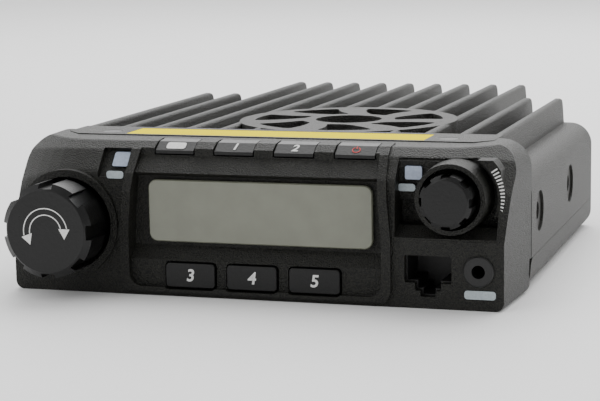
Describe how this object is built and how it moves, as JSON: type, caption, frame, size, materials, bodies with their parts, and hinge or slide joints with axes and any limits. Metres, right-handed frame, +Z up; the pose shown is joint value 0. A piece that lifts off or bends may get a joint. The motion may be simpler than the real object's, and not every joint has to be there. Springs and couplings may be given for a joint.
{
  "type": "mobile transceiver",
  "caption": "Compact vehicle-mount two-way radio: finned metal case with a top speaker grille, display, large channel knob, small volume knob, push keys, microphone and data jacks.",
  "frame": {"origin": "on the underside, in the middle of the width, in the plane where the front panel meets the chassis", "axes": "+X to the right seen from the front, +Y to the back, +Z up"},
  "size_m": [0.145, 0.199, 0.0425],
  "materials": {
    "case_paint": "textured semi-matt",
    "cover_steel": "satin",
    "panel_plastic": "fine textured",
    "knob_plastic": "satin",
    "key_plastic": "satin",
    "window": "glossy",
    "lens": "glossy",
    "strip_metal": "satin, yellow tinted",
    "bright_metal": "nickel plated",
    "brass_metal": "plain",
    "steel": "zinc plated",
    "black_steel": "black oxide",
    "board": "laminate",
    "black_plastic": "plain",
    "white_plastic": "plain",
    "rubber_parts": "matt",
    "cloth": "open weave",
    "paper": "pressed fibre"
  },
  "bodies": {
    "case": {"chassis": "case_paint", "bottom_cover": "cover_steel", "label_strip": "strip_metal", "front_bezel": "panel_plastic", "display_lens": "window", "lcd_panel": "window", "lcd_backlight": "white_plastic", "keypad_mat": "rubber_parts", "control_board": "board", "encoder_body": "steel", "volume_pot": "steel", "encoder_nut": "bright_metal", "volume_nut": "bright_metal", "tx_lens": "lens", "pwr_lens": "lens", "indicator_leds": "white_plastic", "mic_jack": "black_plastic", "mic_jack_contacts": "brass_metal", "data_jack": "black_plastic", "data_jack_ring": "black_plastic", "speaker_cloth": "cloth", "speaker_frame": "steel", "speaker_cone": "paper", "speaker_magnet": "steel", "main_board": "board", "shield_can": "steel", "filter_coils": "brass_metal", "capacitor": "black_plastic", "voltage_regulator": "black_plastic", "power_module": "steel", "module_screws": "steel", "cable_headers": "white_plastic", "flat_cable": "white_plastic", "antenna_socket": "bright_metal", "antenna_insulator": "white_plastic", "antenna_contact": "brass_metal", "antenna_nut": "bright_metal", "dc_lead_gland": "rubber_parts", "rear_speaker_jack": "black_plastic", "rear_jack_nut": "bright_metal", "plate_screws": "black_steel", "cover_screws": "black_steel", "board_screws": "steel"},
    "channel_control": {"channel_knob": "knob_plastic", "encoder_shaft": "steel"},
    "volume_control": {"volume_knob": "knob_plastic", "volume_shaft": "steel"},
    "menu_button": {"key_menu": "key_plastic"},
    "one_button": {"key_one": "key_plastic"},
    "two_button": {"key_two": "key_plastic"},
    "power_button": {"key_power": "key_plastic"},
    "three_button": {"key_three": "key_plastic"},
    "four_button": {"key_four": "key_plastic"},
    "five_button": {"key_five": "key_plastic"}
  },
  "joints": [
    {"name": "channel_turn", "type": "hinge", "parent": "case", "child": "channel_control", "pos_m": [-0.0537, 0, 0.0194], "axis": [0, 1, 0], "continuous": true},
    {"name": "volume_turn", "type": "hinge", "parent": "case", "child": "volume_control", "pos_m": [0.056, 0, 0.0296], "axis": [0, 1, 0], "range_deg": [-150, 150]},
    {"name": "menu_press", "type": "slide", "parent": "case", "child": "menu_button", "axis": [0, 1, 0], "range_m": [0, 0.0008], "stiffness_N_per_m": 900, "springref_m": -0.001},
    {"name": "one_press", "type": "slide", "parent": "case", "child": "one_button", "axis": [0, 1, 0], "range_m": [0, 0.0008], "stiffness_N_per_m": 900, "springref_m": -0.001},
    {"name": "two_press", "type": "slide", "parent": "case", "child": "two_button", "axis": [0, 1, 0], "range_m": [0, 0.0008], "stiffness_N_per_m": 900, "springref_m": -0.001},
    {"name": "power_press", "type": "slide", "parent": "case", "child": "power_button", "axis": [0, 1, 0], "range_m": [0, 0.0008], "stiffness_N_per_m": 900, "springref_m": -0.001},
    {"name": "three_press", "type": "slide", "parent": "case", "child": "three_button", "axis": [0, 1, 0], "range_m": [0, 0.0008], "stiffness_N_per_m": 900, "springref_m": -0.001},
    {"name": "four_press", "type": "slide", "parent": "case", "child": "four_button", "axis": [0, 1, 0], "range_m": [0, 0.0008], "stiffness_N_per_m": 900, "springref_m": -0.001},
    {"name": "five_press", "type": "slide", "parent": "case", "child": "five_button", "axis": [0, 1, 0], "range_m": [0, 0.0008], "stiffness_N_per_m": 900, "springref_m": -0.001}
  ]
}
